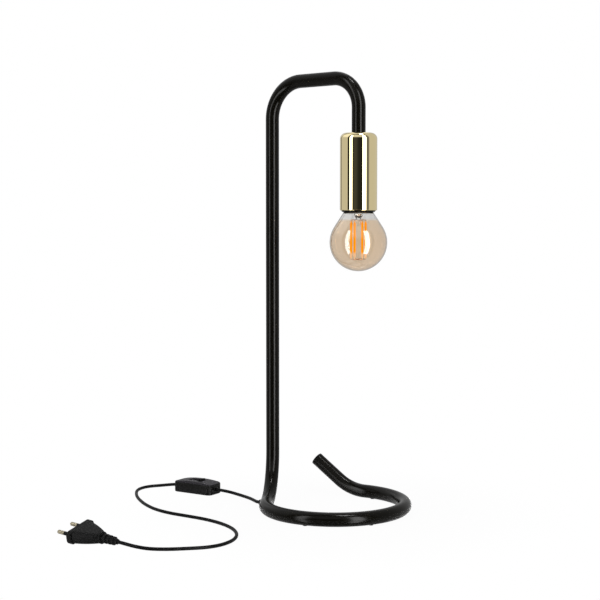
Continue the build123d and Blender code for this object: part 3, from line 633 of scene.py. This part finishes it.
outer_wall = [(sleeve_radius, sleeve_low.z + edge_rise), (sleeve_radius, sleeve_low.z + edge_support)]
outer_wall += [(sleeve_radius, sleeve_high.z - shoulder - shoulder_support)]
outer_wall += shoulder_arc(sleeve_radius, sleeve_high.z, shoulder)
outer_wall += [(hole_radius, sleeve_high.z)]
inner_radius = sleeve_radius - sleeve_wall
inner_wall = [(hole_radius, sleeve_high.z - sleeve_wall)]
inner_wall += shoulder_arc(inner_radius, sleeve_high.z - sleeve_wall, shoulder - sleeve_wall)[::-1]
inner_wall += [(inner_radius, sleeve_low.z + edge_rise), (inner_radius + edge_inset, sleeve_low.z)]
inner_wall += [(sleeve_radius - edge_inset, sleeve_low.z)]
sleeve_section = outer_wall + inner_wall
brass_sleeve = lathe("brass_sleeve", sleeve_section, polished_brass, head_axis, sleeve_facets, closed=True)
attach(brass_sleeve, "lamp")
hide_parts("sleeve")

# %% Lampholder rim
rim_low, rim_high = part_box("holder_body")
rim_radius = (rim_high.x - rim_low.x) / 2
shell_radius = 0.01385
lip_radius = 0.01355
lip_height = 0.003
lip_chamfer = 0.0006
rim_edge = 0.0022
rim_steps = 8
rim_turns = [pi / 2 * step / rim_steps for step in range(rim_steps + 1)]
rim_outer = [(rim_radius - rim_edge * (1 - sin(t)), rim_low.z + rim_edge * (1 - cos(t))) for t in rim_turns]
rim_section = [(lip_radius, rim_low.z + lip_chamfer), (lip_radius + lip_chamfer, rim_low.z)] + rim_outer
rim_section += [(rim_radius, rim_high.z), (shell_radius, rim_high.z)]
rim_section += [(shell_radius, rim_low.z + lip_height), (lip_radius, rim_low.z + lip_height)]
holder_rim = lathe("holder_rim", rim_section, phenolic, head_axis, closed=True)
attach(holder_rim, "lamp")
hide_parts("holder_body")

# %% [markdown]
# ## The globe bulb
# The globe is thin glass, amber below and clear at the neck. One surface with a tint would do for a view
# from far away. Here it is a shell with a real inner wall, so that light bends as in glass. On its way to
# the eye it passes the far wall and the near one, and the tint is set for one wall.

# %% Glass
glass_low, glass_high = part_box("bulb_glass")
globe_radius = 0.031
globe_level = glass_low.z + globe_radius
amber_top = 0.3190
clear_bottom = 0.3225
amber_full, amber_thin = (0.80, 0.70, 0.585, 1), (0.806, 0.712, 0.600, 1)
neck_clear = (0.800, 0.797, 0.792, 1)
stem_dark, stem_pale = (0.9, 0.92, 0.91, 1), (0.95, 0.96, 0.95, 1)

amber_glass = Finish("amber_glass", Transmission_Weight=1.0, IOR=1.5, Roughness=0.0)
tint = amber_glass.step(amber_glass.axis("Z"), amber_top, clear_bottom)
thinning = amber_glass.step(amber_glass.axis("Z"), globe_level, amber_top)
amber = amber_glass.mix(thinning, amber_full, amber_thin)
amber_glass.set({"Base Color": amber_glass.mix(tint, amber, neck_clear)})
clear_glass = Finish("clear_glass", Transmission_Weight=1.0, IOR=1.45, Roughness=0.02)
clear_glass.set({"Base Color": clear_glass.mix(clear_glass.noise(scale=200), stem_dark, stem_pale)})
print("globe: middle at", round(globe_level, 4), "m")

# %% Globe
glass_wall = 0.0009
glass_smooth_angle = 60
globe_steps = 56
neck_slope = radians(32.6)
neck_radius = 0.0116
neck_round = 0.002
shoulder_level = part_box("bulb_cap")[0].z


def globe_wall(inset):
    """Half section of the globe from its lowest point to the top of its neck."""
    radius = globe_radius - inset
    turns = [(-pi / 2) + (pi / 2 + neck_slope) * step / globe_steps for step in range(globe_steps + 1)]
    wall = [(radius * cos(t), globe_level + radius * sin(t)) for t in turns]
    wall[0] = (0.0, wall[0][1])
    top = shoulder_level - inset
    reach = (top - wall[-1][1]) * tan(neck_slope)
    neck = [wall[-1], (wall[-1][0] - reach, top)]
    neck += [(neck_radius - inset, top), (neck_radius - inset, glass_high.z)]
    return wall[:-1] + rounded(neck, neck_round, steps=6)


globe_section = globe_wall(0) + globe_wall(glass_wall)[::-1]
globe = lathe("globe", globe_section, amber_glass, head_axis, smooth_angle=glass_smooth_angle)
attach(globe, "bulb")
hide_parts("bulb_glass")

# %% [markdown]
# ## Stem, filaments and wires
# A glass stem carries the wires. Four LED filaments stand round it, joined in pairs at their lower ends.
# The four are alike, so one filament is made and Geometry Nodes set it on a circle.

# %% Glow of the filaments
filament_low, filament_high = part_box("led_filaments")
# The lower ends glow paler. This is a painted reflection of the brighter surroundings in the glass in front
# of them.
pale_start, pale_end = filament_low.z + 0.005, filament_low.z + 0.0078
phosphor_dark, phosphor_pale = (0.34, 0.12, 0.003, 1), (0.40, 0.16, 0.005, 1)
glow_orange, glow_painted_wash = (1.0, 0.34, 0.0, 1), (0.80, 0.56, 0.36, 1)

phosphor = Finish("phosphor", Roughness=0.55, Emission_Strength=1.25, Specular_IOR_Level=0.0)
painted_wash_mask = 1 - phosphor.step(phosphor.axis("Z"), pale_start, pale_end)
phosphor.set({
    "Base Color": phosphor.mix(phosphor.noise(scale=2500), phosphor_dark, phosphor_pale),
    "Emission Color": phosphor.mix(painted_wash_mask, glow_orange, glow_painted_wash),
})
print("filaments:", round(filament_high.z - filament_low.z, 4), "m long")

# %% Filaments
filament_circle = 0.0088
filament_turn = radians(62.9)
filament_radius = 0.0012
filament_count = 4
filament_facets = 20
tab_length = 0.0022
tab_point = 0.0001
tab_share, dome_share, collar_share = 0.45, 0.8, 0.6


def filament_recipe():
    """Geometry Nodes tree: copies of a rod on a circle about the bulb's axis."""
    kinds = {"Circle": "Float", "Turn": "Float", "Count": "Int"}
    tree, (rod, circle, turn, count, material) = open_recipe("filament_ring", **kinds)
    ring = tree.node("GeometryNodeMeshCircle", None, {"Vertices": count, "Radius": circle})
    spin = tree.node("ShaderNodeCombineXYZ", None, {"Z": turn})
    move = {"Geometry": ring, "Rotation": spin, "Translation": (head_x, 0, 0)}
    ring = tree.node("GeometryNodeTransform", None, move)
    rods = tree.node("GeometryNodeInstanceOnPoints", None, {"Points": ring, "Instance": rod})
    return close_recipe(tree, rods, material)


def filament_section():
    """Rod with domed ends and a thin tab at each end."""
    tab, dome = filament_radius * tab_share, filament_radius * dome_share
    end = [(0.0, 0.0), (tab, tab_point), (tab, tab_length - dome)]
    end += [(dome, tab_length - dome * collar_share), (filament_radius, tab_length)]
    lower = [(radius, filament_low.z + rise) for radius, rise in end]
    upper = [(radius, filament_high.z - drop) for radius, drop in end[::-1]]
    return lower + upper


filament = lathe("filament", filament_section(), phosphor, (0, 0), filament_facets)
filament_sizes = {"Circle": filament_circle, "Turn": filament_turn, "Count": filament_count}
filaments = run_recipe("filaments", filament, filament_recipe(), phosphor, smooth_angle=50, **filament_sizes)
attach(filaments, "bulb")
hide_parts("led_filaments")

# %% Stem
stem_low, stem_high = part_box("bulb_stem")
stem_round = 0.001
stem_facets = 64
# Each pair is a radius and a rise above the stem's lower end.
pinch = [(0.0, 0.0), (0.0016, 0.0003), (0.0025, 0.0014), (0.0026, 0.004), (0.0024, 0.0065)]
pinch += [(0.0032, 0.009), (0.0048, 0.0118), (0.0052, 0.0145)]
hollow = [(0.0043, 0.0145), (0.0038, 0.0125), (0.0012, 0.0112), (0.0, 0.0111)]
# Each pair is a radius and a drop below the stem's upper end.
flare = [(0.0056, 0.006), (0.0085, 0.0035), (0.0112, 0.002), (0.0112, 0.0)]
flare += [(0.0103, 0.0), (0.0102, 0.0014), (0.0078, 0.0028), (0.0048, 0.0055)]

stem_section = [(radius, stem_low.z + rise) for radius, rise in pinch]
stem_section += [(radius, stem_high.z - drop) for radius, drop in flare]
stem_section += [(radius, stem_low.z + rise) for radius, rise in hollow]
stem_section = rounded(stem_section, stem_round, steps=4)
stem = lathe("stem", stem_section, clear_glass, head_axis, stem_facets, smooth_angle=glass_smooth_angle)
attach(stem, "bulb")
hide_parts("bulb_stem")

# %% Wires
wire_radius = 0.00035
wire_facets = 10
wire_rise = 0.0016
link_turns = (0, 0.4, 0.8, 1.2, pi / 2)
# Each pair is a reach from the bulb's axis and a share of the wire's rise.
wire_bends = [(filament_circle, 0.0), (filament_circle, 0.8), (filament_circle * 0.8, 1.0)]
wire_bends += [(0.0045, 0.9), (0.0024, 0.6)]

upper_ends = Vector((head_x, 0, filament_high.z))
lower_ends = Vector((head_x, 0, filament_low.z - wire_radius))
wire_runs = []
for count in range(filament_count):
    out = level_way(filament_turn + 2 * pi * count / filament_count)
    wire_runs.append([upper_ends + out * reach + UP * wire_rise * share for reach, share in wire_bends])
for pair in range(0, filament_count, 2):
    first = filament_turn + 2 * pi * pair / filament_count
    wire_runs.append([lower_ends + level_way(first + turn) * filament_circle for turn in link_turns])
wire_lines = line_object("wire_lines", wire_runs, smooth=True)
wire_sizes = {"Radius": wire_radius, "Facets": wire_facets}
wires = run_recipe(
    "filament_wires_bent", wire_lines, round_sweep, lead_copper, smooth_angle=60, **wire_sizes
)
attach(wires, "bulb")
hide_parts("filament_wires")

# %% [markdown]
# ## The bulb's screw cap
# The cap's thread is rolled into thin steel, so it is a soft wave that climbs one pitch in each turn. A
# helix swept along a curve would need joining to the cap. A lathe whose radius follows the turn gives the
# wave and the cap in one skin. It shows when the bulb is unscrewed.

# %% Threaded cap
cap_low, cap_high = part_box("bulb_cap")
cap_radius = (cap_high.x - cap_low.x) / 2
cap_wall = 0.0013
cap_bore = cap_radius - cap_wall
cap_facets = 96
thread_pitch = 0.003629
thread_depth = 0.0009
thread_fade = 0.002
thread_gap = 0.001
thread_rows = 84
cone_height = 0.0025
cone_radius = 0.009
cone_wall = 0.0004
skirt = 0.0025


def thread_wave(level):
    """Radius of the cap as a function of the turn, at one level. Both ends of the wave are plain."""
    from_skirt = level - cap_low.z - skirt
    from_cone = cap_high.z - cone_height - thread_gap - level
    depth = thread_depth * max(0.0, min(1.0, from_skirt / thread_fade, from_cone / thread_fade))
    return lambda turn: cap_radius - depth * (0.5 - 0.5 * cos(2 * pi * level / thread_pitch - turn))


thread_step = (cap_high.z - cone_height - cap_low.z) / thread_rows
cap_levels = [cap_low.z + thread_step * row for row in range(thread_rows + 1)]
cap_section = [(thread_wave(level), level) for level in cap_levels]
cap_section += [(cone_radius, cap_high.z), (cone_radius - cone_wall, cap_high.z)]
cap_section += [(cone_radius - cone_wall, cap_high.z - cone_wall)]
cap_section += [(cap_bore, cap_high.z - cone_height - cone_wall), (cap_bore, cap_low.z)]
threaded_cap = lathe("threaded_cap", cap_section, cap_steel, head_axis, cap_facets, closed=True)
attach(threaded_cap, "bulb")
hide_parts("bulb_cap")

# %% [markdown]
# ## Pieces that keep their CAD shape
# Small fittings are already right in the solids, so they only take a finish. The switch and the plug sit on
# the lead, and the last cell of this step lists the switch's pieces.

# %% Finishes for the CAD nodes
cad_finishes = {
    "tail_cap": black_plastic, "foot_pads": pad_rubber, "cord_bush": black_plastic, "inner_cord": black_vinyl,
    "tube_insert": screw_steel, "nipple": plain_brass, "sleeve_nut": plain_brass, "holder_cap": phenolic,
    "screw_shell": plain_brass, "terminal_block": porcelain, "terminal_screws": screw_steel,
    "centre_spring": plain_brass, "core_leads": core_blue, "cap_insulator": phenolic,
    "bulb_contact": cap_steel, "driver_board": board_green, "switch_base": black_plastic,
    "switch_cover": cover_plastic, "switch_rocker": rocker_plastic, "rocker_pin": screw_steel,
    "switch_contacts": plain_brass, "contact_leaf": plain_brass, "switch_screws": screw_steel,
    "cord_clamps": black_plastic, "switch_cores": core_blue, "plug_body": plug_vinyl,
    "pin_sleeves": plug_vinyl, "plug_pins": pin_brass,
}
for node_name, finish in cad_finishes.items():
    nodes[node_name].data.materials.clear()
    nodes[node_name].data.materials.append(finish.material)
print("CAD shapes kept:", len(cad_finishes))

# %% The switch's pieces
switch_pieces = ["switch_base", "switch_cover", "switch_rocker", "rocker_pin", "switch_contacts"]
switch_pieces += ["contact_leaf", "switch_screws", "cord_clamps", "switch_cores"]

# %% [markdown]
# ## Stage and light
# The lamp stands on a white round table in a white studio. The eye sees plain white behind it, while
# polished metal and glass mirror what stands round the camera: two tall soft boxes, a small box high on
# the right, a dim panel above the camera, and the dark part of the room between them. Lit panels could
# stand there instead, but a world that is painted by direction is simpler to move and casts no shadow.
# The table is small, so a mirror that looks past its edge sees the room below, and it is faint in
# mirrors, because the photographed tube stays dark down to its lower edge.

# %% Which way a ray came


def ray_kinds(tree):
    """Two fields: one for rays that look straight or through glass, one for rays that met a mirror."""
    names = ("Is Camera Ray", "Is Transmission Ray", "Glossy Depth")
    camera_ray, through, bounces = [tree.node("ShaderNodeLightPath", output=name) for name in names]
    mirrored = bounces.maths("MINIMUM", bounces, 1.0)
    return camera_ray.maths("MAXIMUM", camera_ray, through) * (1 - mirrored), mirrored


# %% Table
floor_radius = 2.6
floor_facets = 96
table_radius, table_soft, table_faint = 0.17, 0.01, 0.7
shade_share, shade_start, shade_end = 0.035, 0.1, 0.28

floor_mesh = bpy.data.meshes.new("floor")
floor_ring = bmesh.new()
bmesh.ops.create_circle(floor_ring, cap_ends=True, segments=floor_facets, radius=floor_radius)
floor_ring.to_mesh(floor_mesh)
floor_ring.free()
floor = bpy.data.objects.new("floor", floor_mesh)
bpy.context.scene.collection.objects.link(floor)

floor_finish = Finish("floor_white", Roughness=0.9, Base_Color=(0.9, 0.9, 0.9, 1))
seen, mirrored = ray_kinds(floor_finish)
length = {"operation": "LENGTH"}
reach = floor_finish.node("ShaderNodeVectorMath", length, {0: floor_finish.place}, output="Value")
shade = shade_share * floor_finish.step(reach, shade_start, shade_end)
plain = seen * (1 - shade_share + shade)
glow = floor_finish.node("ShaderNodeEmission", None, {"Color": (1, 1, 1, 1), "Strength": 1.0})
gap = floor_finish.node("ShaderNodeBsdfTransparent")
shaded = Field(floor_finish.tree, floor_finish.shader.outputs[0])
surface = floor_finish.node("ShaderNodeMixShader", None, {0: plain, 1: shaded, 2: glow})
outside = floor_finish.step(reach, table_radius - table_soft, table_radius + table_soft)
past_edge = mirrored * (table_faint + (1 - table_faint) * outside)
surface = floor_finish.node("ShaderNodeMixShader", None, {0: past_edge, 1: surface, 2: gap})
connect(floor_finish.tree, surface, floor_finish.tree.nodes["Material Output"].inputs["Surface"])
floor_mesh.materials.append(floor_finish.material)
print("table:", table_radius, "m in the mirrors")

# %% Lamps
target_level = 0.3
target = Vector((head_x, 0, target_level))
toward_camera = Vector(camera_place) - target
camera_angle = atan2(toward_camera.y, toward_camera.x)


def soft_lamp(name, turn, distance, level, width, height, power):
    """Area light turned from the camera's direction by an angle. The studio stands in for it in mirrors."""
    light = bpy.data.lights.new(name, "AREA")
    light.shape = "RECTANGLE"
    light.size, light.size_y = width, height
    light.energy = power
    holder = bpy.data.objects.new(name, light)
    holder.location = target + level_way(camera_angle + radians(turn)) * distance
    holder.location.z = level
    holder.rotation_euler = (target - holder.location).to_track_quat("-Z", "Y").to_euler()
    holder.visible_glossy = False
    holder.visible_transmission = False
    bpy.context.scene.collection.objects.link(holder)
    print(name, power, "W")


soft_lamp("lamp_left", turn=-47, distance=1.5, level=1.0, width=0.6, height=1.5, power=9)
soft_lamp("lamp_right", turn=37, distance=1.5, level=1.0, width=0.85, height=1.5, power=12)

# %% Directions in the studio
world = bpy.data.worlds.new("studio")
world.use_nodes = True
bpy.context.scene.world = world
studio = Tree(world.node_tree)
seen, mirrored = ray_kinds(studio)
way = studio.node("ShaderNodeTexCoord", output="Generated")
in_degrees = 180 / pi


def along_way(direction):
    """How far the ray points along a direction, from -1 to 1."""
    pair = {0: way, 1: direction}
    return studio.node("ShaderNodeVectorMath", {"operation": "DOT_PRODUCT"}, pair, output="Value")


ahead = along_way(level_way(camera_angle))
aside = along_way(level_way(camera_angle + pi / 2))
turned = aside.maths("ARCTAN2", aside, ahead) * in_degrees
upward = along_way(UP)
raised = upward.maths("ARCSINE", upward) * in_degrees

# %% Soft boxes in the mirrors
box_rises = (-44, 46, 1.5)
border_level, border_width, border_soft = 1.4, 3.0, 0.8
core_soft = 1.5


def soft_box(first, last, level):
    """Tall soft box between two angles: a bright core in a dimmer border."""
    border = border_level * studio.band(turned, first, last, border_soft)
    core = level * studio.band(turned, first + border_width, last - border_width, core_soft)
    return (border + core) * studio.band(raised, *box_rises)


def patch(level, turns, rises):
    """Patch of light. Its turns and rises are each a first angle, a last one and a softness."""
    return level * studio.band(turned, *turns) * studio.band(raised, *rises)


left_box = soft_box(-57.6, -38.6, level=7)
right_box = soft_box(24.5, 48.7, level=12)
top_box = patch(34, turns=(32, 64, 4), rises=(70, 87, 2))
front_panel = patch(0.8, turns=(-45, 25, 8), rises=(20, 66, 8))

# %% Walls in the mirrors
wall_level, front_level, back_level = 0.64, 0.02, 1.5
left_gain, behind_loss = 0.5, 0.08
strip_level, veil_level = 0.18, 0.04
front_turns, strip_turns, veil_turns = (-71, 68, 1.5), (50, 68, 2), (-36, -8, 12)
left_turns, left_rises = (-150, -71, 4), (10, 30)
side_turns = (-150, 150, 6)
near_turns, back_rises = (-164, 164, 5), (30, 36)

behind = 1 - studio.band(turned, *side_turns)
left_side = studio.band(turned, *left_turns) * studio.step(raised, *left_rises)
walls = wall_level - behind_loss * behind + left_gain * left_side
room = walls - studio.band(turned, *front_turns) * (walls - front_level)
room = room + strip_level * studio.band(turned, *strip_turns) + veil_level * studio.band(turned, *veil_turns)
back_wall = (1 - studio.band(turned, *near_turns)) * studio.step(raised, *back_rises)
room = room + (back_level - room) * back_wall
mirror_light = room + left_box + right_box + top_box + front_panel

# %% The world
fill = 0.35
strength = fill + seen * (1 - fill) + mirrored * (mirror_light - fill)
backdrop = world.node_tree.nodes["Background"]
backdrop.inputs["Color"].default_value = (1, 1, 1, 1)
connect(world.node_tree, strength, backdrop.inputs["Strength"])
world.cycles.sampling_method = "NONE"

bpy.context.scene.view_settings.view_transform = "Standard"
print("studio:", len(world.node_tree.nodes), "nodes")
